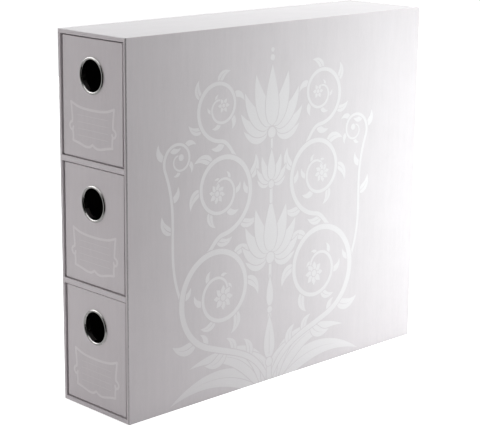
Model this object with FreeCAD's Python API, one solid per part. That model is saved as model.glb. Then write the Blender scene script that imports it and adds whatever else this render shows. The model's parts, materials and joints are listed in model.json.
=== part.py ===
"""Three-drawer card box: a tall, narrow case of wrapped board with three long drawers.

Units are millimetres, +Z is up and the drawers open towards -Y.  The origin is the
middle of the underside.  Every piece is one solid in a node of its own.
"""
import FreeCAD, Part
import os

V = FreeCAD.Vector
same_place = 1e-6            # two points closer than this are one
over_cut = 1.0               # a cutting tool runs this far past the faces it cuts

# ---- overall size of the case -------------------------------------------------------
case_width = 85.0
case_height = 315.0
case_depth = 350.0
drawer_count = 3

# ---- case: board and covering thicknesses -------------------------------------------
side_board = 2.0
top_board = 3.1
base_board = 3.6
back_board = 2.5
shelf_ply = 2.35          # a shelf is two of these, one from the bay above, one from below
cover_card = 0.9          # printed card glued on each long side
wrap_paper = 0.4          # covering sheet over the top, down the back and under the base
right_card_setback = 1.0  # the right side card stops this far behind the front edges
left_card_setback = 0.2   # the left one is laid nearly flush with them
board_edge_radius = 0.5   # softening of a wrapped board edge
card_edge_radius = 0.35
wrap_edge_radius = 0.25

# ---- drawers: board thicknesses -----------------------------------------------------
facing_card = 1.2         # wrapped card glued on the tray's front wall
tray_board = 2.0
lining = 0.4              # black lining inside the tray
facing_edge_radius = 0.5
lining_drop = 1.5         # lining ends this far below the rim

# ---- running clearances of a drawer in its bay --------------------------------------
seat_gap = 0.3            # under the tray
rim_gap = 1.1             # above the tray's rim
tray_side_gap = 1.7       # each side of the tray when it is in the bay's middle
facing_side_gap = 2.0     # each side of the facing, likewise
drawer_shift = 0.75       # a drawer sits this far towards -X of the bay's middle
facing_lift = 0.8         # facing starts this far above the tray's underside
front_recess = 1.2        # facing lies this far behind the case's front edges
back_gap = 0.5            # behind a closed drawer

# ---- finger ring: a flanged eyelet with its tail rolled over a washer -----------------
bore_radius = 12.7
barrel_wall = 0.4
barrel_clearance = 0.1    # between the barrel and the boards, and the barrel and washer
flange_width = 2.05       # flange beyond the bore
flange_height = 0.95
washer_rim = 2.2          # washer beyond the hole in the boards
washer_thickness = 0.5
roll_width = 1.6          # rolled tail beyond the bore
roll_height = 0.6
ring_drop = 29.4          # ring centre below the facing's top edge

# ---- planes and levels worked out from the sizes above --------------------------------
front_y = -case_depth / 2
back_y = case_depth / 2
carcass_half = case_width / 2 - cover_card
bay_half = carcass_half - side_board
carcass_base = wrap_paper
carcass_top = case_height - wrap_paper
floor_z = carcass_base + base_board
ceiling_z = carcass_top - top_board
back_outer_y = back_y - wrap_paper
back_inner_y = back_outer_y - back_board
shelf_thickness = 2 * shelf_ply
bay_height = (ceiling_z - floor_z - (drawer_count - 1) * shelf_thickness) / drawer_count
bay_pitch = bay_height + shelf_thickness

facing_front_y = front_y + front_recess
tray_front_y = facing_front_y + facing_card
tray_back_y = back_inner_y - back_gap
tray_half = bay_half - tray_side_gap
tray_height = bay_height - seat_gap - rim_gap
facing_half = bay_half - facing_side_gap
facing_height = tray_height - facing_lift
cavity_half = tray_half - tray_board
cavity_front_y = tray_front_y + tray_board
cavity_back_y = tray_back_y - tray_board
barrel_radius = bore_radius + barrel_wall
hole_radius = barrel_radius + barrel_clearance
flange_radius = bore_radius + flange_width
washer_radius = hole_radius + washer_rim
roll_radius = bore_radius + roll_width
grip_length = facing_card + tray_board + lining


def panel(x_range, y_range, z_range):
    """Flat board: its outline in plan, drawn as a profile and raised to its height."""
    (x0, x1), (y0, y1), (z0, z1) = x_range, y_range, z_range
    corners = [V(x0, y0, z0), V(x1, y0, z0), V(x1, y1, z0), V(x0, y1, z0), V(x0, y0, z0)]
    outline = Part.Face(Part.makePolygon(corners))
    return outline.extrude(V(0, 0, z1 - z0))


def lies_on(edge, planes):
    """True where both ends of an edge lie on every named plane, such as x=10."""
    return all(abs(getattr(end.Point, axis) - level) < same_place
               for end in edge.Vertexes for axis, level in planes.items())


def soften(solid, radius, *lines):
    """Round the edges of a board that lie on the planes of any of the given lines."""
    edges = [edge for edge in solid.Edges if any(lies_on(edge, planes) for planes in lines)]
    return solid.makeFillet(radius, edges)


def across_drawer(half):
    """Range in x of a drawer piece that reaches this far to each side of the drawer's middle."""
    return (-drawer_shift - half, -drawer_shift + half)


def bay_floor(number):
    """Level of a bay's floor; drawer 1 is the top one."""
    return floor_z + (drawer_count - number) * bay_pitch


def ring_level(number):
    """Height of a drawer's finger ring."""
    facing_top = bay_floor(number) + seat_gap + tray_height
    return facing_top - ring_drop


def carcass():
    """Five boards of the case; top and base lie over the side boards, the back behind all."""
    across = (-carcass_half, carcass_half)
    along = (front_y, back_inner_y)
    upright = (floor_z, ceiling_z)
    boards = {"case_back_board": panel(across, (back_inner_y, back_outer_y), (carcass_base, carcass_top))}
    for name, side in (("left", -1), ("right", 1)):
        board = panel(sorted((side * bay_half, side * carcass_half)), along, upright)
        inner_line = {"x": side * bay_half, "y": front_y}
        outer_line = {"x": side * carcass_half, "y": front_y}
        boards["case_%s_board" % name] = soften(board, board_edge_radius, inner_line, outer_line)
    top = panel(across, along, (ceiling_z, carcass_top))
    boards["case_top_board"] = soften(top, board_edge_radius, {"y": front_y, "z": ceiling_z})
    base = panel(across, along, (carcass_base, floor_z))
    boards["case_base_board"] = soften(base, board_edge_radius, {"y": front_y, "z": floor_z})
    return boards


def shelves():
    """Two plies to each shelf, rounded at the front edge that faces a bay."""
    plies = {}
    for number in range(1, drawer_count):
        shelf_top = bay_floor(number)
        seam = shelf_top - shelf_ply
        for name, low, bay_side in (("top", seam, shelf_top), ("bottom", seam - shelf_ply, seam - shelf_ply)):
            ply = panel((-bay_half, bay_half), (front_y, back_inner_y), (low, low + shelf_ply))
            ply = soften(ply, board_edge_radius, {"y": front_y, "z": bay_side})
            plies["shelf_%d_%s_ply" % (number, name)] = ply
    return plies


def coverings():
    """Printed side cards, and the covering sheet over top, back and base between them."""
    pieces = {}
    for name, side, setback in (("left", -1, left_card_setback), ("right", 1, right_card_setback)):
        outer = side * case_width / 2
        along = (front_y + setback, back_y)
        card = panel(sorted((side * carcass_half, outer)), along, (0, case_height))
        pieces["side_card_%s" % name] = soften(card, card_edge_radius, {"x": outer})
    across = (-carcass_half, carcass_half)
    top = panel(across, (front_y, back_outer_y), (carcass_top, case_height))
    pieces["wrap_top"] = soften(top, wrap_edge_radius, {"y": front_y, "z": case_height})
    base = panel(across, (front_y, back_outer_y), (0, carcass_base))
    pieces["wrap_base"] = soften(base, wrap_edge_radius, {"y": front_y, "z": 0})
    back = panel(across, (back_outer_y, back_y), (0, case_height))
    corners = {"y": back_y, "z": 0}, {"y": back_y, "z": case_height}
    pieces["wrap_back"] = soften(back, wrap_edge_radius, *corners)
    return pieces


def finger_hole(number, y_start, y_end):
    """Cylinder that clears the ring's barrel through the drawer's front."""
    centre = V(-drawer_shift, y_start, ring_level(number))
    return Part.makeCylinder(hole_radius, y_end - y_start, centre, V(0, 1, 0))


def facing(number):
    """Wrapped card on the front of a drawer, rounded on its four outer edges."""
    low = bay_floor(number) + seat_gap + facing_lift
    card = panel(across_drawer(facing_half), (facing_front_y, tray_front_y), (low, low + facing_height))
    card = soften(card, facing_edge_radius, {"y": facing_front_y})
    return card.cut(finger_hole(number, facing_front_y - over_cut, tray_front_y + over_cut))


def tray(number):
    """Four walls round a floor board, all butted; front and back span the full width."""
    low = bay_floor(number) + seat_gap
    height = (low, low + tray_height)
    full = across_drawer(tray_half)
    inside = across_drawer(cavity_half)
    between = (cavity_front_y, cavity_back_y)
    front = panel(full, (tray_front_y, cavity_front_y), height)
    return {
        "front_board": front.cut(finger_hole(number, tray_front_y - over_cut, cavity_front_y + over_cut)),
        "back_wall": panel(full, (cavity_back_y, tray_back_y), height),
        "left_wall": panel((full[0], inside[0]), between, height),
        "right_wall": panel((inside[1], full[1]), between, height),
        "floor": panel(inside, between, (low, low + tray_board)),
    }


def tray_lining(number):
    """Open-topped black lining that covers the floor and the inner side of the walls."""
    low = bay_floor(number) + seat_gap + tray_board
    rim = bay_floor(number) + seat_gap + tray_height - lining_drop
    block = panel(across_drawer(cavity_half), (cavity_front_y, cavity_back_y), (low, rim))
    hollow = panel(across_drawer(cavity_half - lining),
                   (cavity_front_y + lining, cavity_back_y - lining), (low + lining, rim + over_cut))
    hole = finger_hole(number, cavity_front_y - over_cut, cavity_front_y + lining + over_cut)
    return block.cut(hollow).cut(hole)


def revolve_section(corners, number):
    """Turn a closed half section, listed as (radius, depth behind the facing), about the ring's axis."""
    centre = V(-drawer_shift, facing_front_y, ring_level(number))
    points = [centre + V(radius, depth, 0) for radius, depth in corners + corners[:1]]
    return Part.Face(Part.makePolygon(points)).revolve(centre, V(0, 1, 0), 360)


def bead(start_radius, end_radius, depth, height):
    """Section of a rolled bead on a flat: two sloping flanks and a flat crest between them."""
    flank = (end_radius - start_radius) / 4
    crest = depth + height
    return [
        (start_radius, depth),
        (start_radius + flank, crest),
        (end_radius - flank, crest),
        (end_radius, depth),
    ]


def ring_face(number):
    """Eyelet: beaded flange on the facing, barrel through the front, tail rolled on the washer."""
    tail = grip_length + washer_thickness
    flange = bead(flange_radius, bore_radius, 0, -flange_height)
    roll = bead(bore_radius, roll_radius, tail, roll_height)
    barrel = [(barrel_radius, tail), (barrel_radius, 0)]
    return revolve_section(flange + roll + barrel, number)


def ring_washer(number):
    """Flat washer between the lining and the rolled tail of the eyelet."""
    near = grip_length
    far = grip_length + washer_thickness
    corners = [(hole_radius, near), (washer_radius, near), (washer_radius, far), (hole_radius, far)]
    return revolve_section(corners, number)


def drawer(number):
    """All the pieces of one drawer, by node name."""
    prefix = "drawer_%d_" % number
    pieces = {prefix + name: solid for name, solid in tray(number).items()}
    pieces[prefix + "facing"] = facing(number)
    pieces[prefix + "lining"] = tray_lining(number)
    pieces[prefix + "ring_face"] = ring_face(number)
    pieces[prefix + "ring_washer"] = ring_washer(number)
    return pieces


def main():
    """Build every node and write one STEP file for each."""
    nodes = {}
    nodes.update(carcass())
    nodes.update(shelves())
    nodes.update(coverings())
    for number in range(1, drawer_count + 1):
        nodes.update(drawer(number))
    os.makedirs("parts", exist_ok=True)
    for name, solid in nodes.items():
        shape = solid if solid.ShapeType == "Solid" else solid.Solids[0]
        shape.exportStep(os.path.join("parts", name + ".step"))
        print("%-28s %10.1f mm3" % (name, shape.Volume))


main()
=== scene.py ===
"""Drawer box for trading cards, dressed over its CAD frame.

A tall case of wrapped board holds three long drawers. Each drawer front has a nickel
finger ring and a label panel, and the right side of the case carries a tone-on-tone print.
"""

import json
import logging
import math
from collections.abc import Callable, Iterable, Sequence
from dataclasses import dataclass
from enum import Enum

import bmesh
import bpy
from mathutils import Matrix, Vector
from mathutils.geometry import delaunay_2d_cdt

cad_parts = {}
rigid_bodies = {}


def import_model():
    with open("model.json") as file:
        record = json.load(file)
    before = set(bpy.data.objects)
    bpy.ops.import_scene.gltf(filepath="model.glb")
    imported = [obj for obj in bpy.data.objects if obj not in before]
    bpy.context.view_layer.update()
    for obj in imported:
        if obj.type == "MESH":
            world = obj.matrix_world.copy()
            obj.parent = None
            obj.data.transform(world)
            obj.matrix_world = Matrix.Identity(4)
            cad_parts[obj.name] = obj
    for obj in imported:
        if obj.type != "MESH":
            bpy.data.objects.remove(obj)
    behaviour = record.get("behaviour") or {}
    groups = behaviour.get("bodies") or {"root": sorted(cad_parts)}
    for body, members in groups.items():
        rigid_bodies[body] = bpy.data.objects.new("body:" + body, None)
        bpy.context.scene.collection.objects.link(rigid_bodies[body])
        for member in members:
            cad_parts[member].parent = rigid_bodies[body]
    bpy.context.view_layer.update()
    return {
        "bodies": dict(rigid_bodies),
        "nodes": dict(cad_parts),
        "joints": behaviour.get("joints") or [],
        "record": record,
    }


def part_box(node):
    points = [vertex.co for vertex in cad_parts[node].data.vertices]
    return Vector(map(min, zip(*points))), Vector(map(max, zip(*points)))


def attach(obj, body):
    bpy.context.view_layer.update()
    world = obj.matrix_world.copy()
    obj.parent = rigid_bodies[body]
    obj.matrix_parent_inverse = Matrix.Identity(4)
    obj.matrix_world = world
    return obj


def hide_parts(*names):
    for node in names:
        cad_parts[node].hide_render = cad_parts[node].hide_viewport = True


log = logging.getLogger("drawer_box")

Point = tuple[float, float]
Outline = list[Point]
Width = Callable[[float], float]
Span = tuple[float, float]
Place = tuple[float, float, float]
Colour = tuple[float, float, float]

MM = 0.001
WELD = 1e-6
COOL: Colour = (0.905, 1.0, 0.975)


class Slot(Enum):
    """The record's material slots that the new pieces take their finish from."""

    PRINTED_CARD = "printed_card"
    COVERING_SHEET = "covering_sheet"
    FACING_CARD = "facing_card"
    RING_METAL = "ring_metal"


class Grain(Enum):
    """Axis that a paper's fibres run along, as the stretch of its noise."""

    UPRIGHT = (9.0, 9.0, 1.0)
    ALONG = (9.0, 1.0, 9.0)


# ---------------------------------------------------------------- finishes


class Recipe:
    """A material's node graph under construction.

    An edge counts as worn where its rounded and its true normal agree less than on_face, and as
    fully worn where they agree no more than on_edge.
    """

    on_face: float = 0.995
    on_edge: float = 0.85

    def __init__(self, name: str) -> None:
        """Starts an empty material with one shader.

        Args:
            name: The material's name.
        """
        self.material = bpy.data.materials.new(name)
        self.material.use_nodes = True
        self.nodes = self.material.node_tree.nodes
        self.links = self.material.node_tree.links
        self.nodes.clear()
        self.shader = self.nodes.new("ShaderNodeBsdfPrincipled")
        self.output = self.nodes.new("ShaderNodeOutputMaterial")
        self.links.new(self.shader.outputs["BSDF"], self.output.inputs["Surface"])
        self.place = self.nodes.new("ShaderNodeTexCoord").outputs["Object"]

    def add(self, kind: str, **inputs: object) -> bpy.types.Node:
        """Adds a node and fills its inputs.

        Args:
            kind: The node type without its ShaderNode prefix.
            **inputs: Input names, with _ for a space, and a number, colour or socket for each.

        Returns:
            The new node.
        """
        node = self.nodes.new("ShaderNode" + kind)
        for key, value in inputs.items():
            socket = node.inputs[key.replace("_", " ")]
            if isinstance(value, bpy.types.NodeSocket):
                self.links.new(value, socket)
            else:
                socket.default_value = value
        return node

    def noise(self, scale: float, stretch: Sequence[float] = (1, 1, 1),
              detail: float = 3.0) -> bpy.types.NodeSocket:
        """A noise value in object space.

        Args:
            scale: Features per metre.
            stretch: Scale of each axis, to draw the features out.
            detail: Octaves.

        Returns:
            The socket of the noise value.
        """
        stretched = self.add("Mapping", Vector=self.place, Scale=stretch)
        noise = self.add("TexNoise", Vector=stretched.outputs["Vector"], Scale=scale, Detail=detail)
        return noise.outputs["Fac"]

    def spread(self, value: bpy.types.NodeSocket, low: float, high: float, start: float = 0.35,
               end: float = 0.65) -> bpy.types.NodeSocket:
        """Maps the middle of a noise onto a range.

        Args:
            value: The socket to map.
            low: The result at start.
            high: The result at end.
            start: The noise value that gives low.
            end: The noise value that gives high.

        Returns:
            The socket of the mapped value.
        """
        mapped = self.add("MapRange", Value=value, From_Min=start, From_Max=end, To_Min=low,
                          To_Max=high)
        return mapped.outputs["Result"]

    def maths(self, operation: str, first: object, second: object) -> bpy.types.NodeSocket:
        """Works one value out of two.

        Args:
            operation: The node's operation.
            first: A number or socket.
            second: A number or socket.

        Returns:
            The socket of the result.
        """
        node = self.nodes.new("ShaderNodeMath")
        node.operation = operation
        for socket, value in zip(node.inputs, (first, second)):
            if isinstance(value, bpy.types.NodeSocket):
                self.links.new(value, socket)
            else:
                socket.default_value = value
        return node.outputs[0]

    def blend(self, share: bpy.types.NodeSocket, first: object,
              second: object) -> bpy.types.NodeSocket:
        """Mixes two colours.

        Args:
            share: How much of the second shows.
            first: A colour or socket.
            second: A colour or socket.

        Returns:
            The socket of the mixed colour.
        """
        node = self.nodes.new("ShaderNodeMix")
        node.data_type = "RGBA"
        self.links.new(share, node.inputs[0])
        for socket, value in ((node.inputs[6], first), (node.inputs[7], second)):
            if isinstance(value, bpy.types.NodeSocket):
                self.links.new(value, socket)
            else:
                socket.default_value = value
        return node.outputs[2]

    def openness(self, reach: float) -> bpy.types.NodeSocket:
        """How open a place lies: 0 deep in a crevice, 1 on a free face.

        Args:
            reach: How near another face must be to close the place in.

        Returns:
            The socket of the value.
        """
        return self.add("AmbientOcclusion", Distance=reach).outputs["AO"]

    def edge_wear(self, reach: float, scale: float) -> bpy.types.NodeSocket:
        """How much a place lies on a rubbed edge: 1 on a worn edge, 0 on a flat face.

        Args:
            reach: How far the rubbing reaches from an edge.
            scale: Patches of wear per metre.

        Returns:
            The socket of the value.
        """
        turned = self.nodes.new("ShaderNodeVectorMath")
        turned.operation = "DOT_PRODUCT"
        rounded = self.nodes.new("ShaderNodeBevel")
        rounded.inputs["Radius"].default_value = reach
        face = self.nodes.new("ShaderNodeNewGeometry")
        self.links.new(rounded.outputs["Normal"], turned.inputs[0])
        self.links.new(face.outputs["True Normal"], turned.inputs[1])
        edge = self.spread(turned.outputs["Value"], 0.0, 1.0, self.on_face, self.on_edge)
        return self.maths("MULTIPLY", edge, self.spread(self.noise(scale), 0.35, 1.0))

    def shade(self, colour: bpy.types.NodeSocket, share: bpy.types.NodeSocket, low: float,
              high: float) -> bpy.types.NodeSocket:
        """Darkens a colour by a share.

        Args:
            colour: The colour.
            share: From 0 to 1.
            low: The colour's factor where the share is 0.
            high: Its factor where the share is 1.

        Returns:
            The socket of the shaded colour.
        """
        scaled = self.nodes.new("ShaderNodeVectorMath")
        scaled.operation = "SCALE"
        self.links.new(colour, scaled.inputs[0])
        self.links.new(self.spread(share, low, high, 0.0, 1.0), scaled.inputs["Scale"])
        return scaled.outputs[0]

    def raise_surface(self, *layers: tuple[bpy.types.NodeSocket, float]) -> None:
        """Bumps the surface with one height after another.

        Args:
            *layers: Pairs of height socket and depth in metres.
        """
        normal = None
        for height, depth in layers:
            bump = self.add("Bump", Height=height, Distance=depth, Strength=1.0)
            if normal:
                self.links.new(normal, bump.inputs["Normal"])
            normal = bump.outputs["Normal"]
        self.links.new(normal, self.shader.inputs["Normal"])


def tint(colour: Sequence[float], factor: float) -> tuple[float, float, float, float]:
    """A colour made lighter or darker, with alpha."""
    return tuple(min(channel * factor, 1.0) for channel in colour) + (1.0,)


@dataclass(frozen=True)
class PaintedFrontShade:
    """A patch of painted shade that deepens the paper's colour round one place."""

    centre: Place
    reach: float
    tone: Colour

    def over(self, made: Recipe, colour: bpy.types.NodeSocket) -> bpy.types.NodeSocket:
        """Paints the shade into a paper's colour, most at the place and not at all out of its reach.

        Args:
            made: The material under construction.
            colour: The paper's colour.

        Returns:
            The socket of the deepened colour.
        """
        gap = made.nodes.new("ShaderNodeVectorMath")
        gap.operation = "DISTANCE"
        made.links.new(made.place, gap.inputs[0])
        gap.inputs[1].default_value = self.centre
        shaded = made.nodes.new("ShaderNodeVectorMath")
        shaded.operation = "MULTIPLY"
        made.links.new(colour, shaded.inputs[0])
        shaded.inputs[1].default_value = self.tone
        unshaded = made.spread(gap.outputs["Value"], 0, 1, 0.0, self.reach)
        return made.blend(unshaded, shaded.outputs[0], colour)


@dataclass(frozen=True)
class Paper:
    """Satin paper: faint mottling and bands, drawn-out fibres, a fine tooth and lightly rubbed edges.

    Each scale counts features per metre, and each shade is a factor of the colour. Shade is painted
    into gaps and crevices, and over one place of the surface when a painted front shade is given.
    """

    name: str
    colour: Colour
    grain: Grain = Grain.UPRIGHT
    roughness: float = 0.55
    specular: float = 0.35
    mottle_scale: float = 38.0
    mottle_shades: Span = (0.985, 1.012)
    fibre_scale: float = 260.0
    fibre_shade: float = 1.03
    band_scale: float = 30.0
    band_shade: float = 0.978
    tooth_scale: float = 2600.0
    tooth: float = 0.012 * MM
    painted_crevice_reach: float = 3.0 * MM
    painted_crevice_shade: float = 0.82
    worn_reach: float = 0.8 * MM
    worn_scale: float = 420.0
    worn_shade: float = 1.16
    painted_front_shade: PaintedFrontShade | None = None

    def material(self) -> bpy.types.Material:
        """Makes the paper's material.

        Returns:
            The material.
        """
        made = Recipe(self.name)
        mottle = made.spread(made.noise(self.mottle_scale, detail=4), 0, 1)
        fibre = made.noise(self.fibre_scale, self.grain.value, detail=5)
        tooth = made.noise(self.tooth_scale, detail=3)
        low, high = self.mottle_shades
        ground = made.blend(mottle, tint(self.colour, low), tint(self.colour, high))
        streak = made.spread(fibre, 0, 1, 0.42, 0.72)
        colour = made.blend(streak, ground, tint(self.colour, self.fibre_shade))
        band = made.spread(made.noise(self.band_scale, self.grain.value, detail=2), 0, 1)
        colour = made.shade(colour, band, self.band_shade, 1.0)
        # Painted shade: darkens the colour where other faces close the place in, in gaps and crevices.
        colour = made.shade(colour, made.openness(self.painted_crevice_reach), self.painted_crevice_shade, 1.0)
        rubbed = made.edge_wear(self.worn_reach, self.worn_scale)
        colour = made.blend(rubbed, colour, tint(self.colour, self.worn_shade))
        # Painted shade over one place of the paper, when it is given.
        if self.painted_front_shade:
            colour = self.painted_front_shade.over(made, colour)
        made.links.new(colour, made.shader.inputs["Base Color"])
        rough = made.spread(fibre, self.roughness - 0.05, self.roughness + 0.06)
        made.links.new(rough, made.shader.inputs["Roughness"])
        made.shader.inputs["Specular IOR Level"].default_value = self.specular
        made.raise_surface((fibre, self.tooth * 1.6), (tooth, self.tooth))
        return made.material


@dataclass(frozen=True)
class CutBoard:
    """Raw cut edge of grey board: compressed plies and specks."""

    name: str = "cut_grey_board"
    colour: Colour = (0.60, 0.575, 0.585)
    ply_scale: float = 3400.0
    ply_shades: Span = (0.72, 1.25)
    speck_scale: float = 1500.0
    speck_shade: float = 0.45
    roughness: float = 0.88
    specular: float = 0.2

    def material(self) -> bpy.types.Material:
        """Makes the cut edge's material.

        Returns:
            The material.
        """
        made = Recipe(self.name)
        plies = made.noise(self.ply_scale, (1.0, 0.12, 0.12), detail=4)
        specks = made.noise(self.speck_scale, detail=2)
        low, high = self.ply_shades
        ground = made.blend(made.spread(plies, 0, 1), tint(self.colour, low), tint(self.colour, high))
        dark = made.spread(specks, 0, 1, 0.62, 0.72)
        colour = made.blend(dark, ground, tint(self.colour, self.speck_shade))
        made.links.new(colour, made.shader.inputs["Base Color"])
        made.shader.inputs["Roughness"].default_value = self.roughness
        made.shader.inputs["Specular IOR Level"].default_value = self.specular
        made.raise_surface((plies, 0.04 * MM), (specks, 0.02 * MM))
        return made.material


@dataclass(frozen=True)
class Ink:
    """Pale satin ink, printed a shade lighter than the paper."""

    name: str
    colour: Colour
    roughness: float = 0.52
    specular: float = 0.35
    cover_scale: float = 900.0
    cover_shades: Span = (0.975, 1.0)
    fibre_scale: float = 260.0
    tooth_scale: float = 2600.0

    def material(self) -> bpy.types.Material:
        """Makes the ink's material.

        Returns:
            The material.
        """
        made = Recipe(self.name)
        cover = made.noise(self.cover_scale, detail=4)
        fibre = made.noise(self.fibre_scale, Grain.UPRIGHT.value, detail=5)
        low, high = self.cover_shades
        full = made.spread(cover, 0, 1, 0.3, 0.6)
        colour = made.blend(full, tint(self.colour, low), tint(self.colour, high))
        made.links.new(colour, made.shader.inputs["Base Color"])
        rough = made.spread(cover, self.roughness - 0.05, self.roughness + 0.07)
        made.links.new(rough, made.shader.inputs["Roughness"])
        made.shader.inputs["Specular IOR Level"].default_value = self.specular
        made.raise_surface((fibre, 0.015 * MM), (made.noise(self.tooth_scale), 0.008 * MM))
        return made.material


@dataclass(frozen=True)
class BlackLining:
    """Black lining paper with a linen-like tooth."""

    name: str = "black_lining_paper"
    colour: Colour = (0.05, 0.047, 0.046)
    thread_scale: float = 1500.0
    thread_shades: Span = (0.7, 1.6)
    specular: float = 0.25

    def material(self) -> bpy.types.Material:
        """Makes the lining's material.

        Returns:
            The material.
        """
        made = Recipe(self.name)
        warp = made.noise(self.thread_scale, Grain.UPRIGHT.value, detail=2)
        weft = made.noise(self.thread_scale, Grain.ALONG.value, detail=2)
        cloth = made.maths("ADD", warp, weft)
        low, high = self.thread_shades
        raised = made.spread(cloth, 0, 1, 0.85, 1.15)
        colour = made.blend(raised, tint(self.colour, low), tint(self.colour, high))
        made.links.new(colour, made.shader.inputs["Base Color"])
        rough = made.spread(cloth, 0.62, 0.8, 0.8, 1.2)
        made.links.new(rough, made.shader.inputs["Roughness"])
        made.shader.inputs["Specular IOR Level"].default_value = self.specular
        made.raise_surface((cloth, 0.02 * MM))
        return made.material


@dataclass(frozen=True)
class Nickel:
    """Bright nickel plate with a faint haze and fine specks."""

    name: str = "bright_nickel"
    colour: Colour = (0.80, 0.79, 0.775)
    haze_scale: float = 700.0
    haze_shades: Span = (0.93, 1.03)
    roughness: Span = (0.1, 0.2)
    speck_scale: float = 5200.0

    def material(self) -> bpy.types.Material:
        """Makes the plating's material.

        Returns:
            The material.
        """
        made = Recipe(self.name)
        haze = made.noise(self.haze_scale, detail=4)
        specks = made.noise(self.speck_scale, detail=2)
        low, high = self.haze_shades
        colour = made.blend(made.spread(haze, 0, 1), tint(self.colour, low), tint(self.colour, high))
        made.links.new(colour, made.shader.inputs["Base Color"])
        made.links.new(made.spread(haze, *self.roughness), made.shader.inputs["Roughness"])
        made.shader.inputs["Metallic"].default_value = 1.0
        made.raise_surface((specks, 0.002 * MM))
        return made.material


# ---------------------------------------------------------------- mesh building


def make_piece(name: str, mesh: bmesh.types.BMesh, *finishes: bpy.types.Material,
               sharp: float = 35.0) -> bpy.types.Object:
    """Turns a bmesh into an object with smooth faces and sharp creases.

    Args:
        name: The piece's name.
        mesh: The mesh, which is freed.
        *finishes: The materials, in slot order.
        sharp: Angle in degrees above which an edge stays sharp.

    Returns:
        The new object.
    """
    bmesh.ops.remove_doubles(mesh, verts=mesh.verts, dist=WELD)
    bmesh.ops.recalc_face_normals(mesh, faces=mesh.faces)
    data = bpy.data.meshes.new(name)
    mesh.to_mesh(data)
    mesh.free()
    data.shade_smooth()
    data.set_sharp_from_angle(angle=math.radians(sharp))
    for finish in finishes:
        data.materials.append(finish)
    piece = bpy.data.objects.new(name, data)
    flat = piece.modifiers.new("flat_faces", "WEIGHTED_NORMAL")
    flat.mode, flat.weight, flat.keep_sharp = "FACE_AREA", 100, True
    bpy.context.scene.collection.objects.link(piece)
    return piece


def dress(node: bpy.types.Object, *finishes: bpy.types.Material) -> bpy.types.Object:
    """Gives a CAD piece its materials.

    Args:
        node: The CAD piece.
        *finishes: The materials, in slot order.

    Returns:
        The same piece.
    """
    node.data.materials.clear()
    for finish in finishes:
        node.data.materials.append(finish)
    return node


def bridge(mesh: bmesh.types.BMesh, loops: Sequence[Sequence[Vector]],
           closed: bool = True) -> list[list[bmesh.types.BMVert]]:
    """Joins matching loops of points with quads.

    Args:
        mesh: The mesh to add to.
        loops: Loops with the same number of points.
        closed: Whether each loop joins up with itself.

    Returns:
        The vertices of each loop.
    """
    rows = [[mesh.verts.new(point) for point in loop] for loop in loops]
    for first, second in zip(rows, rows[1:]):
        count = len(first)
        for i in range(count if closed else count - 1):
            j = (i + 1) % count
            mesh.faces.new((first[i], first[j], second[j], second[i]))
    return rows


def rounded_rectangle(low: Point, high: Point, radius: float, steps: int = 4) -> Outline:
    """A rectangle's outline with round corners, counter-clockwise.

    Args:
        low: Lowest corner.
        high: Highest corner.
        radius: Corner radius.
        steps: Steps in each corner.

    Returns:
        The outline's points.
    """
    corners = ((high[0], high[1], 0), (low[0], high[1], 90), (low[0], low[1], 180),
               (high[0], low[1], 270))
    outline = []
    for u, v, start in corners:
        centre_u = u - math.copysign(radius, u - (low[0] + high[0]) / 2)
        centre_v = v - math.copysign(radius, v - (low[1] + high[1]) / 2)
        for step in range(steps + 1):
            angle = math.radians(start + 90 * step / steps)
            outline.append((centre_u + radius * math.cos(angle),
                            centre_v + radius * math.sin(angle)))
    return outline


def circle(centre: Point, radius: float, steps: int = 96) -> Outline:
    """A circle's outline, counter-clockwise.

    Args:
        centre: The centre.
        radius: The radius.
        steps: Number of points.

    Returns:
        The outline's points.
    """
    turn = 2 * math.pi / steps
    return [(centre[0] + radius * math.cos(turn * i), centre[1] + radius * math.sin(turn * i))
            for i in range(steps)]


def wound_left(outline: Outline) -> Outline:
    """Turns an outline counter-clockwise.

    Args:
        outline: The outline, wound either way.

    Returns:
        The same outline, wound to the left.
    """
    pairs = zip(outline, outline[1:] + outline[:1])
    area = sum(first[0] * second[1] - second[0] * first[1] for first, second in pairs)
    return outline if area > 0 else outline[::-1]


class Stencil:
    """A flat drawing made of outlines laid over one another, each inked or cut out."""

    inside_only: int = 1
    closeness: float = 1e-7

    def __init__(self) -> None:
        """Starts an empty drawing."""
        self.layers: list[tuple[Outline, bool]] = []

    def ink(self, outline: Outline) -> None:
        """Inks an outline."""
        self.layers.append((wound_left(outline), True))

    def cut(self, outline: Outline) -> None:
        """Clears an outline from what is inked so far."""
        self.layers.append((wound_left(outline), False))

    def triangles(self) -> tuple[list[Point], list[list[int]]]:
        """Works out the area that stays inked.

        Returns:
            Its points, and its faces as indices of points.
        """
        points: list[Vector] = []
        faces: list[list[int]] = []
        for outline, _ in self.layers:
            faces.append(list(range(len(points), len(points) + len(outline))))
            points.extend(Vector(point) for point in outline)
        corners, _, made, _, _, sources = delaunay_2d_cdt(
            points, [], faces, self.inside_only, self.closeness, True)
        kept = [list(face) for face, source in zip(made, sources)
                if source and self.layers[max(source)][1]]
        return [tuple(corner) for corner in corners], kept


def plate(mesh: bmesh.types.BMesh, points: Sequence[Point], faces: Sequence[Sequence[int]],
          surface: Callable[[float, float], Vector], lift: Vector) -> None:
    """Builds a thin plate over a drawing's faces, open where it lies on its carrier.

    Args:
        mesh: The mesh to add to.
        points: The drawing's points.
        faces: The drawing's faces.
        surface: Gives the place of a drawing's point on the piece that carries it.
        lift: From the plate's underside to its top.
    """
    used = sorted({index for face in faces for index in face})
    under = {index: mesh.verts.new(surface(*points[index])) for index in used}
    top = {index: mesh.verts.new(surface(*points[index]) + lift) for index in used}
    for face in faces:
        mesh.faces.new([top[index] for index in face])
    edges = dict.fromkeys(edge for face in faces for edge in zip(face, [*face[1:], face[0]]))
    for first, second in edges:
        if (second, first) not in edges:
            mesh.faces.new((top[second], top[first], under[first], under[second]))


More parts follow.
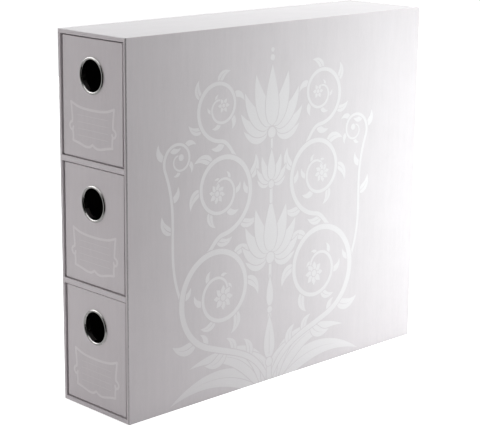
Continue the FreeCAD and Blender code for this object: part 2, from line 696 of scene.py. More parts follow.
class Vine:
    """A line that a stem, leaf or rule follows."""

    def __init__(self, points: Outline) -> None:
        """Keeps the line's points."""
        self.points = points

    def at(self, share: float) -> Point:
        """The point at a share of the line.

        Args:
            share: From 0 at the line's start to 1 at its end.

        Returns:
            The point.
        """
        place = min(max(share, 0.0), 1.0) * (len(self.points) - 1)
        first = min(int(place), len(self.points) - 2)
        rest = place - first
        start, end = self.points[first], self.points[first + 1]
        return start[0] + (end[0] - start[0]) * rest, start[1] + (end[1] - start[1]) * rest

    def heading(self, share: float) -> float:
        """The line's direction at a share of it, in degrees."""
        before, after = self.at(share - 0.01), self.at(share + 0.01)
        return math.degrees(math.atan2(after[1] - before[1], after[0] - before[0]))

    def ribbon(self, width: Width, grow: float = 0.0, cap: int = 6) -> Outline:
        """A closed outline round the line.

        Args:
            width: Gives the full width at a share of the line.
            grow: Width added on each side.
            cap: Steps of each round end.

        Returns:
            The outline.
        """
        left, right, ends = [], [], []
        last = len(self.points) - 1
        for i, (u, v) in enumerate(self.points):
            turn = math.radians(self.heading(i / last))
            half = width(i / last) / 2 + grow
            left.append((u - half * math.sin(turn), v + half * math.cos(turn)))
            right.append((u + half * math.sin(turn), v - half * math.cos(turn)))
        for share, lead in ((1.0, 90), (0.0, -90)):
            u, v = self.at(share)
            half = width(share) / 2 + grow
            end = []
            for step in range(1, cap):
                turn = math.radians(self.heading(share) + lead - 180 * step / cap)
                end.append((u + half * math.cos(turn), v + half * math.sin(turn)))
            ends.append(end)
        return left + ends[0] + right[::-1] + ends[1]


def bow(start: Point, end: Point, rise: float, steps: int = 18) -> Vine:
    """A gently bowed line.

    Args:
        start: Its first point.
        end: Its last point.
        rise: Height of the bow as a share of the span, positive to the left.
        steps: Number of steps.

    Returns:
        The line.
    """
    du, dv = end[0] - start[0], end[1] - start[1]
    shares = [(step / steps, 4 * rise * step / steps * (1 - step / steps))
              for step in range(steps + 1)]
    return Vine([(start[0] + du * along - dv * off, start[1] + dv * along + du * off)
                 for along, off in shares])


def coil(centre: Point, start: float, turns: float, wide: float, tight: float,
         steps: int = 110) -> Vine:
    """A scroll that winds in to its eye.

    Args:
        centre: The eye's centre.
        start: Angle of the first point in degrees.
        turns: Turns, positive counter-clockwise.
        wide: First radius.
        tight: Last radius.
        steps: Number of steps.

    Returns:
        The scroll's line.
    """
    points = []
    for step in range(steps + 1):
        share = step / steps
        turn = math.radians(start + 360 * turns * share)
        radius = tight + (wide - tight) * (1 - share) ** 1.15
        points.append((centre[0] + radius * math.cos(turn), centre[1] + radius * math.sin(turn)))
    return Vine(points)


def lead_in(start: Point, heading: float, scroll: Vine, pull: float, steps: int) -> Vine:
    """Joins a smooth stem to the front of a scroll.

    Args:
        start: The stem's first point.
        heading: The stem's first direction in degrees.
        scroll: The scroll.
        pull: How far the stem holds its directions, as a share of its span.
        steps: Number of steps.

    Returns:
        Stem and scroll as one line.
    """
    end, turn = scroll.at(0.0), math.radians(scroll.heading(0.0))
    reach = math.dist(start, end) * pull
    first = math.radians(heading)
    handles = (start, (start[0] + reach * math.cos(first), start[1] + reach * math.sin(first)),
               (end[0] - reach * math.cos(turn), end[1] - reach * math.sin(turn)), end)
    points = []
    for step in range(steps):
        share = step / steps
        rest = 1 - share
        weights = (rest ** 3, 3 * rest * rest * share, 3 * rest * share * share, share ** 3)
        points.append(tuple(sum(weight * handle[axis] for weight, handle in zip(weights, handles))
                            for axis in (0, 1)))
    return Vine(points + scroll.points)


def taper(start: float, end: float) -> Width:
    """A width that runs evenly from start to end."""
    return lambda share: start + (end - start) * share


def swell(start: float, middle: float, end: float) -> Width:
    """A width that swells near the root and thins to the tip."""
    return lambda share: (start + (middle - start) * share / 0.3 if share < 0.3
                          else middle + (end - middle) * ((share - 0.3) / 0.7) ** 0.8)


def belly(width: float) -> Width:
    """A leaf's width, widest a third of the way up."""
    return lambda share: width * max(math.sin(math.pi * min(max(share, 0.0), 1.0) ** 0.62), 0.0) ** 0.9


class Ornament(Stencil):
    """A stencil-like drawing of stems, leaves and flowers in millimetres, parted by thin gaps."""

    gap: float = 0.8
    sprout_angle: float = 38
    veined_size: float = 15
    vein_tip: float = 0.15

    def stem(self, line: Vine, width: Width) -> None:
        """Draws a stem."""
        self.cut(line.ribbon(width, self.gap))
        self.ink(line.ribbon(width))

    def leaf(self, start: Point, end: Point, rise: float, width: float,
             vein: bool = False) -> None:
        """Draws a leaf from its stalk to its tip.

        Args:
            start: The stalk.
            end: The tip.
            rise: Height of the leaf's bow as a share of its length.
            width: Its greatest width.
            vein: Whether a vein is left open.
        """
        line = bow(start, end, rise)
        self.stem(line, belly(width))
        if vein:
            self.cut(Vine(line.points[2:-5]).ribbon(taper(self.gap, self.vein_tip)))

    def sprout(self, line: Vine, share: float, side: int, size: float) -> None:
        """Draws a leaf that grows from a stem.

        Args:
            line: The stem's line.
            share: Where on the stem.
            side: 1 for the stem's left, -1 for its right.
            size: The leaf's length.
        """
        root = line.at(share)
        turn = math.radians(line.heading(share) + side * self.sprout_angle)
        tip = (root[0] + size * math.cos(turn), root[1] + size * math.sin(turn))
        self.leaf(root, tip, side * 0.2, size * 0.4, size > self.veined_size)

    def bead(self, centre: Point, radius: float) -> None:
        """Draws a round bead."""
        self.cut(circle(centre, radius + self.gap, 22))
        self.ink(circle(centre, radius, 22))

    def flower(self, centre: Point, radius: float, petals: int, first: float = 0.0) -> None:
        """Draws a flower with even petals.

        Args:
            centre: Its centre.
            radius: Its radius.
            petals: Number of petals.
            first: Angle of the first petal in degrees.
        """
        for petal in range(petals):
            turn = math.radians(first + 360 * petal / petals)
            ray = (math.cos(turn), math.sin(turn))
            self.leaf((centre[0] + radius * 0.3 * ray[0], centre[1] + radius * 0.3 * ray[1]),
                      (centre[0] + radius * ray[0], centre[1] + radius * ray[1]), 0.0, radius * 0.5)
        self.bead(centre, radius * 0.26)

    def palmette(self, level: float, reach: float, petals: int, fan: float,
                 slim: float = 0.3) -> None:
        """Draws an upright palmette on the axis.

        Args:
            level: Height of its foot.
            reach: Length of its middle petal.
            petals: Number of petals, odd.
            fan: Angle between the outermost petals in degrees.
            slim: A petal's width as a share of its length.
        """
        half = (petals - 1) / 2
        for petal in sorted(range(petals), key=lambda index: -abs(index - half)):
            off = (petal - half) / half
            turn = math.radians(90 - off * fan / 2)
            size = reach * (1 - 0.42 * abs(off) ** 1.4)
            start = (reach * 0.1 * math.cos(turn), level + reach * 0.1 * math.sin(turn))
            tip = (size * math.cos(turn), level + size * math.sin(turn))
            self.leaf(start, tip, -0.22 * off, size * slim)

    def mirror(self) -> None:
        """Repeats what is drawn so far on the other side of the axis."""
        for outline, inked in list(self.layers):
            self.layers.append(([(-u, v) for u, v in outline][::-1], inked))


# ---------------------------------------------------------------- the case


@dataclass
class CoveringSheet:
    """The sheet round the case: along the base, up the back and over the top."""

    finish: bpy.types.Material
    thickness: float = 0.4 * MM
    corner: float = 1.1 * MM
    nose: float = 0.8 * MM
    soft: float = 0.12 * MM
    steps: int = 8
    nodes: tuple[str, ...] = ("wrap_top", "wrap_back", "wrap_base")

    def outer(self) -> Outline:
        """The sheet's outer line, from the base's front to the top's front, as depth and height.

        Returns:
            The line's points.
        """
        top, base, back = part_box("wrap_top"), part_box("wrap_base"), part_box("wrap_back")
        front, rear = top[0].y, back[1].y
        low, high = base[0].z, top[1].z
        return [
            *self.arc((front + self.nose, low + self.nose), self.nose, 180, 270),
            *self.arc((rear - self.corner, low + self.corner), self.corner, 270, 360),
            *self.arc((rear - self.corner, high - self.corner), self.corner, 0, 90),
            *self.arc((front + self.nose, high - self.nose), self.nose, 90, 180),
        ]

    def arc(self, centre: Point, radius: float, start: float, end: float) -> Outline:
        """Points on an arc.

        Args:
            centre: The arc's centre.
            radius: Its radius.
            start: Its first angle in degrees.
            end: Its last angle in degrees.

        Returns:
            The points.
        """
        turns = [math.radians(start + (end - start) * step / self.steps)
                 for step in range(self.steps + 1)]
        return [(centre[0] + radius * math.cos(turn), centre[1] + radius * math.sin(turn))
                for turn in turns]

    def build(self) -> bpy.types.Object:
        """Builds the sheet in place of its three CAD pieces.

        Returns:
            The sheet.
        """
        outer = self.outer()
        inner = []
        for i, (depth, height) in enumerate(outer):
            before, after = outer[max(i - 1, 0)], outer[min(i + 1, len(outer) - 1)]
            run = Vector((after[0] - before[0], after[1] - before[1])).normalized()
            inner.append((depth - run.y * self.thickness, height + run.x * self.thickness))
        half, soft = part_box("wrap_top")[1].x, self.soft
        section = [(-half, self.thickness), (-half, soft), (-half + soft, 0.0), (half - soft, 0.0),
                   (half, soft), (half, self.thickness)]
        loops = []
        for (outer_depth, outer_height), (inner_depth, inner_height) in zip(outer, inner):
            loop = []
            for across, sink in section:
                share = sink / self.thickness
                depth = outer_depth + (inner_depth - outer_depth) * share
                height = outer_height + (inner_height - outer_height) * share
                loop.append(Vector((across, depth, height)))
            loops.append(loop)
        mesh = bmesh.new()
        rows = bridge(mesh, loops)
        mesh.faces.new(rows[0])
        mesh.faces.new(rows[-1][::-1])
        sheet = make_piece("covering_sheet", mesh, self.finish, sharp=50)
        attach(sheet, "case")
        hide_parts(*self.nodes)
        return sheet


@dataclass
class SideCard:
    """A card glued on a long side, cut clean at the front and covered at its other edges.

    inset sinks its face under a print, skew sets its front edge askew towards the foot, and bare
    is how far back the cut shows.
    """

    node: str
    paper: bpy.types.Material
    cut: bpy.types.Material
    inset: float = 0.0
    skew: float = 0.0
    sheet: float = 0.15 * MM
    shoulder: float = 0.3
    corner: float = 0.5 * MM
    bare: float = 0.3 * MM

    def laid(self, depth: float, height: float, low: Vector, high: Vector) -> float:
        """Where a point of the card lies in depth, with its front edge a little askew.

        Args:
            depth: The point's depth on a card laid true.
            height: The point's height.
            low: The card's lowest corner.
            high: Its highest corner.

        Returns:
            The depth.
        """
        front = (high.y - depth) / (high.y - low.y)
        foot = (high.z - height) / (high.z - low.z)
        return depth - self.skew * front * foot

    def build(self) -> bpy.types.Object:
        """Builds the card in place of its CAD piece.

        Returns:
            The card.
        """
        low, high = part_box(self.node)
        side = math.copysign(1, low.x + high.x)
        inner = min(abs(low.x), abs(high.x))
        outer = max(abs(low.x), abs(high.x)) - self.inset
        shoulder = self.sheet * self.shoulder
        steps = ((inner, 0.0), (outer - self.sheet, 0.0), (outer - shoulder, shoulder),
                 (outer, self.sheet))
        loops = []
        for across, shrink in steps:
            outline = rounded_rectangle((low.y + shrink, low.z + shrink),
                                        (high.y - shrink, high.z - shrink), self.corner)
            loops.append([Vector((side * across, self.laid(depth, height, low, high), height))
                          for depth, height in outline])
        mesh = bmesh.new()
        rows = bridge(mesh, loops)
        mesh.faces.new(rows[0])
        mesh.faces.new(rows[-1])
        for face in mesh.faces:
            centre = face.calc_center_median()
            if centre.y < low.y + self.bare and abs(centre.x) < outer - self.sheet:
                face.material_index = 1
        card = make_piece(self.node + "_dressed", mesh, self.paper, self.cut, sharp=40)
        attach(card, "case")
        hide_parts(self.node)
        return card


@dataclass
class SidePrint:
    """The print on the right side: paired scrolls with leaves and flowers round a stem of palmettes.

    It is drawn in millimetres, across from its middle stem and up from the card's lower edge.
    """

    ink: bpy.types.Material
    node: str = "side_card_right"
    middle: float = 159.0
    inset: float = 0.06 * MM
    film: float = 0.045 * MM
    sunk: float = 0.01 * MM
    margin: float = 0.4

    def scrolls(self, drawing: Ornament) -> None:
        """Draws the scrolls and tendril of one half.

        Args:
            drawing: The drawing to add to.
        """
        lower = lead_in((2, 2), 62, coil((60, 92), -78, 1.85, 48, 6.5), 0.42, 26)
        upper = lead_in(lower.at(0.36), lower.heading(0.36), coil((58, 180), 268, -1.8, 38, 5.5),
                        0.35, 14)
        crest = lead_in(upper.at(0.30), upper.heading(0.30), coil((60, 250), -92, 1.7, 28, 4),
                        0.35, 14)
        tendril = lead_in(lower.at(0.285), lower.heading(0.285) - 30,
                          coil((105, 212), -30, 1.45, 17, 3), 0.4, 30)
        self.leafy(drawing, tendril, swell(2.6, 2.8, 1.0), (
            (0.12, -1, 19), (0.17, 1, 14), (0.27, -1, 15), (0.33, 1, 12), (0.44, -1, 12),
            (0.55, -1, 10), (0.66, -1, 8)))
        self.leafy(drawing, crest, swell(3.0, 3.6, 1.2), (
            (0.10, -1, 15), (0.19, -1, 16), (0.28, -1, 16), (0.37, -1, 16), (0.46, -1, 14),
            (0.55, -1, 12), (0.64, -1, 10), (0.74, -1, 7), (0.84, -1, 6)))
        self.leafy(drawing, upper, swell(3.6, 4.4, 1.4), (
            (0.08, 1, 18), (0.16, 1, 20), (0.22, -1, 13), (0.25, 1, 21), (0.39, 1, 20), (0.47, 1, 19),
            (0.55, 1, 16), (0.63, 1, 14), (0.71, 1, 11), (0.79, 1, 8), (0.87, 1, 6)))
        self.leafy(drawing, lower, swell(4.4, 5.6, 1.6), (
            (0.08, 1, 19), (0.13, 1, 17), (0.155, -1, 25), (0.20, 1, 14), (0.22, -1, 26),
            (0.29, 1, 13), (0.43, -1, 21), (0.49, -1, 22), (0.56, -1, 20), (0.63, -1, 17),
            (0.70, -1, 14), (0.77, -1, 11), (0.84, -1, 8), (0.90, -1, 7)))
        drawing.flower(lower.at(1.0), 11, 8)
        drawing.flower(upper.at(1.0), 9, 8, 10)
        drawing.flower(crest.at(1.0), 6.5, 6)
        drawing.bead(tendril.at(1.0), 2.8)

    def leafy(self, drawing: Ornament, line: Vine, width: Width,
              leaves: Iterable[tuple[float, int, float]]) -> None:
        """Draws a stem over the leaves that grow from it.

        Args:
            drawing: The drawing to add to.
            line: The stem's line.
            width: The stem's width.
            leaves: Place, side and length of each leaf.
        """
        for leaf in leaves:
            drawing.sprout(line, *leaf)
        drawing.stem(line, width)

    def foot(self, drawing: Ornament) -> None:
        """Draws the blades that sweep outwards along the bottom edge.

        Args:
            drawing: The drawing to add to.
        """
        root = (5, -8)
        for reach, lean, rise, slim in ((112, 84, 0.16, 0.15), (98, 66, 0.2, 0.17),
                                        (70, 47, 0.22, 0.2), (44, 26, 0.2, 0.26)):
            turn = math.radians(90 - lean)
            tip = (root[0] + reach * math.cos(turn), root[1] + reach * math.sin(turn))
            drawing.leaf(root, tip, rise, reach * slim, True)

    def axis(self, drawing: Ornament) -> None:
        """Draws the middle stem with its palmettes and beads.

        Args:
            drawing: The drawing to add to.
        """
        drawing.stem(Vine([(0, -8), (0, 50), (0, 112)]), taper(6.0, 3.0))
        drawing.palmette(112, 52, 9, 176)
        drawing.bead((0, 112), 5.0)
        drawing.stem(Vine([(0, 162), (0, 192), (0, 222)]), taper(3.6, 2.4))
        drawing.palmette(178, 30, 7, 150)
        drawing.bead((0, 177), 3.4)
        drawing.palmette(222, 58, 9, 164, 0.27)
        drawing.bead((0, 222), 4.6)
        drawing.leaf((0, 20), (0, 60), 0, 13, True)
        drawing.leaf((0, 68), (0, 96), 0, 8)
        for level, radius in ((17, 4.0), (65, 3.0), (286, 2.6), (292.5, 1.9)):
            drawing.bead((0, level), radius)

    def build(self) -> bpy.types.Object:
        """Builds the print as a thin film on the card.

        Returns:
            The film.
        """
        low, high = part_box(self.node)
        drawing = Ornament()
        self.foot(drawing)
        self.scrolls(drawing)
        drawing.mirror()
        self.axis(drawing)
        drawing.cut([(-200, -50), (200, -50), (200, self.margin), (-200, self.margin)])
        points, faces = drawing.triangles()
        under = high.x - self.inset - self.sunk
        mesh = bmesh.new()
        plate(mesh, points, faces,
              lambda u, v: Vector((under, low.y + (self.middle + u) * MM, low.z + v * MM)),
              Vector((self.film + self.sunk, 0, 0)))
        film = make_piece("side_print", mesh, self.ink, sharp=30)
        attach(film, "case")
        return film


@dataclass
class Case:
    """The case: boards, shelves, covering sheet and side cards."""

    paper: bpy.types.Material
    covering: bpy.types.Material
    card: bpy.types.Material
    cut: bpy.types.Material
    ink: bpy.types.Material
    boards: tuple[str, ...] = (
        "case_left_board", "case_right_board", "case_top_board", "case_base_board",
        "case_back_board", "shelf_1_top_ply", "shelf_1_bottom_ply", "shelf_2_top_ply",
        "shelf_2_bottom_ply",
    )
    skew: float = 0.4 * MM

    def build(self, nodes: dict[str, bpy.types.Object]) -> Iterable[bpy.types.Object]:
        """Dresses the boards and builds what goes round them.

        Args:
            nodes: The CAD pieces by name.

        Returns:
            Each piece in turn.
        """
        for name in self.boards:
            yield dress(nodes[name], self.paper)
        yield CoveringSheet(self.covering).build()
        yield SideCard("side_card_left", self.paper, self.cut).build()
        side_print = SidePrint(self.ink)
        yield SideCard("side_card_right", self.card, self.cut, side_print.inset, self.skew).build()
        yield side_print.build()


# ---------------------------------------------------------------- the drawers


@dataclass
class FingerRing:
    """A finger ring: domed flange, barrel through the front and a tail rolled over its washer.

    The flange is wider than its CAD piece by spread on each side and stands forward of it by proud.
    Its outer curve is as wide as flank, and its inner one runs mouth times its rise into the bore.
    """

    number: int
    finish: bpy.types.Material
    spread: float = 0.45 * MM
    proud: float = 0.18 * MM
    flank: float = 1.35 * MM
    mouth: float = 1.4
    bore: float = 12.7 * MM
    wall: float = 0.35 * MM
    roll: float = 0.7 * MM
    tail: float = 0.6 * MM
    seat: float = 0.4 * MM
    steps: int = 128
    soft: int = 8

    def section(self) -> Outline:
        """Draws the ring's section.

        Returns:
            Its points as radius and depth, once round from the rim's edge.
        """
        low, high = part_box(f"drawer_{self.number}_ring_face")
        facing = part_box(f"drawer_{self.number}_facing")[0].y
        outer = (high.x - low.x) / 2 + self.spread
        crest, barrel = outer - self.flank, self.bore + self.wall
        front, turned, seat = low.y - self.proud, high.y - self.tail, facing + self.seat
        rise, width = facing - front, crest - self.bore
        depth = rise * self.mouth
        quarter = [math.radians(90 * step / self.soft) for step in range(1, self.soft + 1)]
        return [
            (outer, seat),
            *((crest + self.flank * math.cos(turn), facing - rise * math.sin(turn))
              for turn in quarter),
            *((crest - width * math.sin(turn), front + depth * (1 - math.cos(turn)))
              for turn in quarter),
            (self.bore, turned),
            *((self.bore + self.roll * (1 - math.cos(2 * turn)),
               turned + self.tail * math.sin(2 * turn)) for turn in quarter),
            (barrel, turned),
            (barrel, seat),
        ]

    def build(self) -> bpy.types.Object:
        """Builds the ring in place of its CAD piece.

        Returns:
            The ring.
        """
        body, node = f"drawer_{self.number}", f"drawer_{self.number}_ring_face"
        low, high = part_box(node)
        centre = (low + high) / 2
        section = self.section()
        mesh = bmesh.new()
        bridge(mesh, [[Vector((centre.x + u, depth, centre.z + v))
                       for u, v in circle((0, 0), radius, self.steps)]
                      for radius, depth in section + section[:1]])
        ring = make_piece(f"finger_ring_{self.number}", mesh, self.finish, sharp=50)
        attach(ring, body)
        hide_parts(node)
        return ring


@dataclass
class Facing:
    """A drawer's facing: a thin card with round edges that leans back a little.

    It keeps its place at the share upright of its height, and reach is how much further right the
    card of each drawer runs.
    """

    number: int
    finish: bpy.types.Material
    lean: float = 0.6 * MM
    upright: float = 0.35
    edge: float = 0.5 * MM
    edge_steps: int = 4
    corner: float = 0.7 * MM
    hole: float = 13.2 * MM
    reach: tuple[float, ...] = (0.0, 0.35 * MM, 0.6 * MM)

    def __post_init__(self) -> None:
        """Reads where the CAD facing and ring lie, and widens the card in the lower bays."""
        self.node = f"drawer_{self.number}_facing"
        self.low, self.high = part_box(self.node)
        self.high = self.high + Vector((self.reach[self.number - 1], 0, 0))
        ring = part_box(f"drawer_{self.number}_ring_face")
        self.ring = ((ring[0].x + ring[1].x) / 2, (ring[0].z + ring[1].z) / 2)

    def outline(self, inset: float) -> Outline:
        """The facing's outline, drawn in by an inset."""
        return rounded_rectangle((self.low.x + inset, self.low.z + inset),
                                 (self.high.x - inset, self.high.z - inset), self.corner)

    def front(self, across: float, level: float) -> Vector:
        """The point of the facing's front at a place across and above."""
        share = (level - self.low.z) / (self.high.z - self.low.z)
        return Vector((across, self.low.y + self.lean * (share - self.upright), level))

    def back(self, across: float, level: float) -> Vector:
        """The point of the facing's back at a place across and above."""
        return Vector((across, self.high.y, level))

    def sheet(self, mesh: bmesh.types.BMesh, inset: float,
              surface: Callable[[float, float], Vector]) -> None:
        """Fills the facing's outline, less its hole.

        Args:
            mesh: The mesh to add to.
            inset: How far the outline stands in from the facing's edges.
            surface: Gives a point's place.
        """
        stencil = Stencil()
        stencil.ink(self.outline(inset))
        stencil.cut(circle(self.ring, self.hole))
        points, faces = stencil.triangles()
        corners = [mesh.verts.new(surface(*point)) for point in points]
        for face in faces:
            mesh.faces.new([corners[index] for index in face])

    def build(self) -> bpy.types.Object:
        """Builds the facing in place of its CAD piece.

        Returns:
            The facing.
        """
        mesh = bmesh.new()
        loops = [[self.back(*point) for point in self.outline(0.0)]]
        for step in range(self.edge_steps + 1):
            turn = math.radians(90 * step / self.edge_steps)
            inset, sink = self.edge * (1 - math.cos(turn)), self.edge * (1 - math.sin(turn))
            loops.append([self.front(*point) + Vector((0, sink, 0))
                          for point in self.outline(inset)])
        bridge(mesh, loops)
        hole = circle(self.ring, self.hole)
        bridge(mesh, [[side(*point) for point in hole] for side in (self.front, self.back)])
        self.sheet(mesh, self.edge, self.front)
        self.sheet(mesh, 0.0, self.back)
        facing = make_piece(f"drawer_{self.number}_front_card", mesh, self.finish, sharp=40)
        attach(facing, f"drawer_{self.number}")
        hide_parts(self.node)
        return facing


@dataclass
class Label:
    """The label panel on a facing: a scalloped frame round ruled lines.

    It is drawn in millimetres, across from the ring's middle and up from the facing's lower edge.
    """

    facing: Facing
    ink: bpy.types.Material
    rule_ink: bpy.types.Material
    line: float = 2.1
    rule: float = 0.5
    rule_reach: float = 19.0
    film: float = 0.05 * MM
    rule_film: float = 0.04 * MM
    sunk: float = 0.01 * MM
    half_frame: tuple[Outline, ...] = (
        [(0, 40.0), (10, 40.3), (19, 41.5), (27.2, 44.2)],
        [(27.2, 44.2), (26.4, 38.0), (25.7, 31.0), (25.9, 28.2)],
        [(25.9, 28.2), (28.2, 27.0), (29.2, 24.4), (27.6, 21.9), (25.2, 22.0), (24.6, 23.8)],
        [(25.4, 22.0), (24.7, 17.0), (25.0, 12.9)],
        [(25.0, 12.9), (17.5, 11.6), (9.5, 9.8), (4.0, 10.0), (0, 12.2)],
    )
    rules: tuple[float, ...] = (34.5, 29.0, 23.5, 18.0)

    def rounded(self, corners: Outline, steps: int = 8) -> Vine:
        """A smooth line through points.

        Args:
            corners: The points.
            steps: Steps between two points.

        Returns:
            The line.
        """
        posts = [corners[0]] + list(corners) + [corners[-1]]
        points = []
        for i in range(1, len(posts) - 2):
            for step in range(steps):
                t = step / steps
                weights = (-t + 2 * t * t - t ** 3, 2 - 5 * t * t + 3 * t ** 3,
                           t + 4 * t * t - 3 * t ** 3, t ** 3 - t * t)
                near = posts[i - 1:i + 3]
                points.append(tuple(sum(weight * post[axis] for weight, post in zip(weights, near)) / 2
                                    for axis in (0, 1)))
        return Vine(points + [corners[-1]])

    def film_of(self, name: str, drawing: Stencil, ink: bpy.types.Material,
                lift: float) -> bpy.types.Object:
        """Builds a drawing as a film on the facing.

        Args:
            name: The piece's name.
            drawing: The drawing, in millimetres above the facing's lower edge.
            ink: The material.
            lift: The film's thickness.

        Returns:
            The film.
        """
        middle, foot, sunk = self.facing.ring[0], self.facing.low.z, Vector((0, self.sunk, 0))
        points, faces = drawing.triangles()
        mesh = bmesh.new()
        plate(mesh, points, faces,
              lambda u, v: self.facing.front(middle + u * MM, foot + v * MM) + sunk,
              Vector((0, -lift, 0)))
        film = make_piece(name, mesh, ink, sharp=30)
        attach(film, f"drawer_{self.facing.number}")
        return film

    def build(self) -> Iterable[bpy.types.Object]:
        """Builds the frame and the rules.

        Returns:
            Each of the two films in turn.
        """
        panel = f"drawer_{self.facing.number}_label"
        frame = Stencil()
        for corners in self.half_frame:
            for side in (1, -1):
                line = self.rounded([(side * u, v) for u, v in corners])
                frame.ink(line.ribbon(lambda share: self.line))
        yield self.film_of(f"{panel}_frame", frame, self.ink, self.film)
        lines = Stencil()
        for level in self.rules:
            line = Vine([(-self.rule_reach, level), (0, level), (self.rule_reach, level)])
            lines.ink(line.ribbon(lambda share: self.rule))
        yield self.film_of(f"{panel}_rules", lines, self.rule_ink, self.rule_film)


@dataclass
class Drawer:
    """One drawer: tray, lining, facing, ring and label."""

    number: int
    paper: bpy.types.Material
    facing: bpy.types.Material
    lining: bpy.types.Material
    ring: bpy.types.Material
    label: bpy.types.Material
    rule: bpy.types.Material
    walls: tuple[str, ...] = ("front_board", "back_wall", "left_wall", "right_wall", "floor")

    def build(self, nodes: dict[str, bpy.types.Object]) -> Iterable[bpy.types.Object]:
        """Dresses the tray and builds what its front carries.

        Args:
            nodes: The CAD pieces by name.

        Returns:
            Each piece in turn.
        """
        for wall in self.walls:
            yield dress(nodes[f"drawer_{self.number}_{wall}"], self.paper)
        yield dress(nodes[f"drawer_{self.number}_lining"], self.lining)
        yield dress(nodes[f"drawer_{self.number}_ring_washer"], self.ring)
        facing = Facing(self.number, self.facing)
        yield facing.build()
        yield from Label(facing, self.label, self.rule).build()
        yield FingerRing(self.number, self.ring).build()


# ---------------------------------------------------------------- the studio


@dataclass
class Lamp:
    """A soft rectangular lamp that looks at a point."""

    name: str
    place: Place
    target: Place
    width: float
    height: float
    watts: float
    mirrored: bool = True
    colour: Colour = (1.0, 1.0, 1.0)

    def build(self) -> bpy.types.Object:
        """Builds the lamp.

        Returns:
            The lamp.
        """
        data = bpy.data.lights.new(self.name, "AREA")
        data.shape = "RECTANGLE"
        data.size, data.size_y = self.width, self.height
        data.energy = self.watts
        data.color = self.colour
        lamp = bpy.data.objects.new(self.name, data)
        lamp.location = self.place
        aim = Vector(self.target) - Vector(self.place)
        lamp.rotation_euler = aim.to_track_quat("-Z", "Y").to_euler()
        lamp.visible_camera = False
        lamp.visible_glossy = self.mirrored
        bpy.context.scene.collection.objects.link(lamp)
        return lamp


@dataclass
class Card:
    """A studio card that only the metal mirrors: a sector of the floor with a screen behind it."""

    name: str
    tone: float
    start: float
    end: float
    near: float
    far: float
    screen: float
    steps: int = 24
    level: float = 0.002
    centre: Point = (0.0, -0.175)

    def build(self) -> bpy.types.Object:
        """Builds the card, turning from its start to its end angle, with 0 straight in front.

        Returns:
            The card.
        """
        turns = [math.radians(self.start + (self.end - self.start) * step / self.steps)
                 for step in range(self.steps + 1)]
        rims = ((self.near, self.level), (self.far, self.level), (self.far, self.screen))
        mesh = bmesh.new()
        bridge(mesh, [[Vector((self.centre[0] + radius * math.sin(turn),
                               self.centre[1] - radius * math.cos(turn), level)) for turn in turns]
                      for radius, level in rims], closed=False)
        material = bpy.data.materials.new(self.name)
        material.use_nodes = True
        nodes, links = material.node_tree.nodes, material.node_tree.links
        nodes.clear()
        glow, output = nodes.new("ShaderNodeEmission"), nodes.new("ShaderNodeOutputMaterial")
        glow.inputs["Color"].default_value = (1, 1, 1, 1)
        glow.inputs["Strength"].default_value = self.tone
        links.new(glow.outputs[0], output.inputs["Surface"])
        card = make_piece(self.name, mesh, material)
        card.visible_camera = card.visible_diffuse = card.visible_shadow = False
        card.visible_transmission = card.visible_volume_scatter = False
        return card


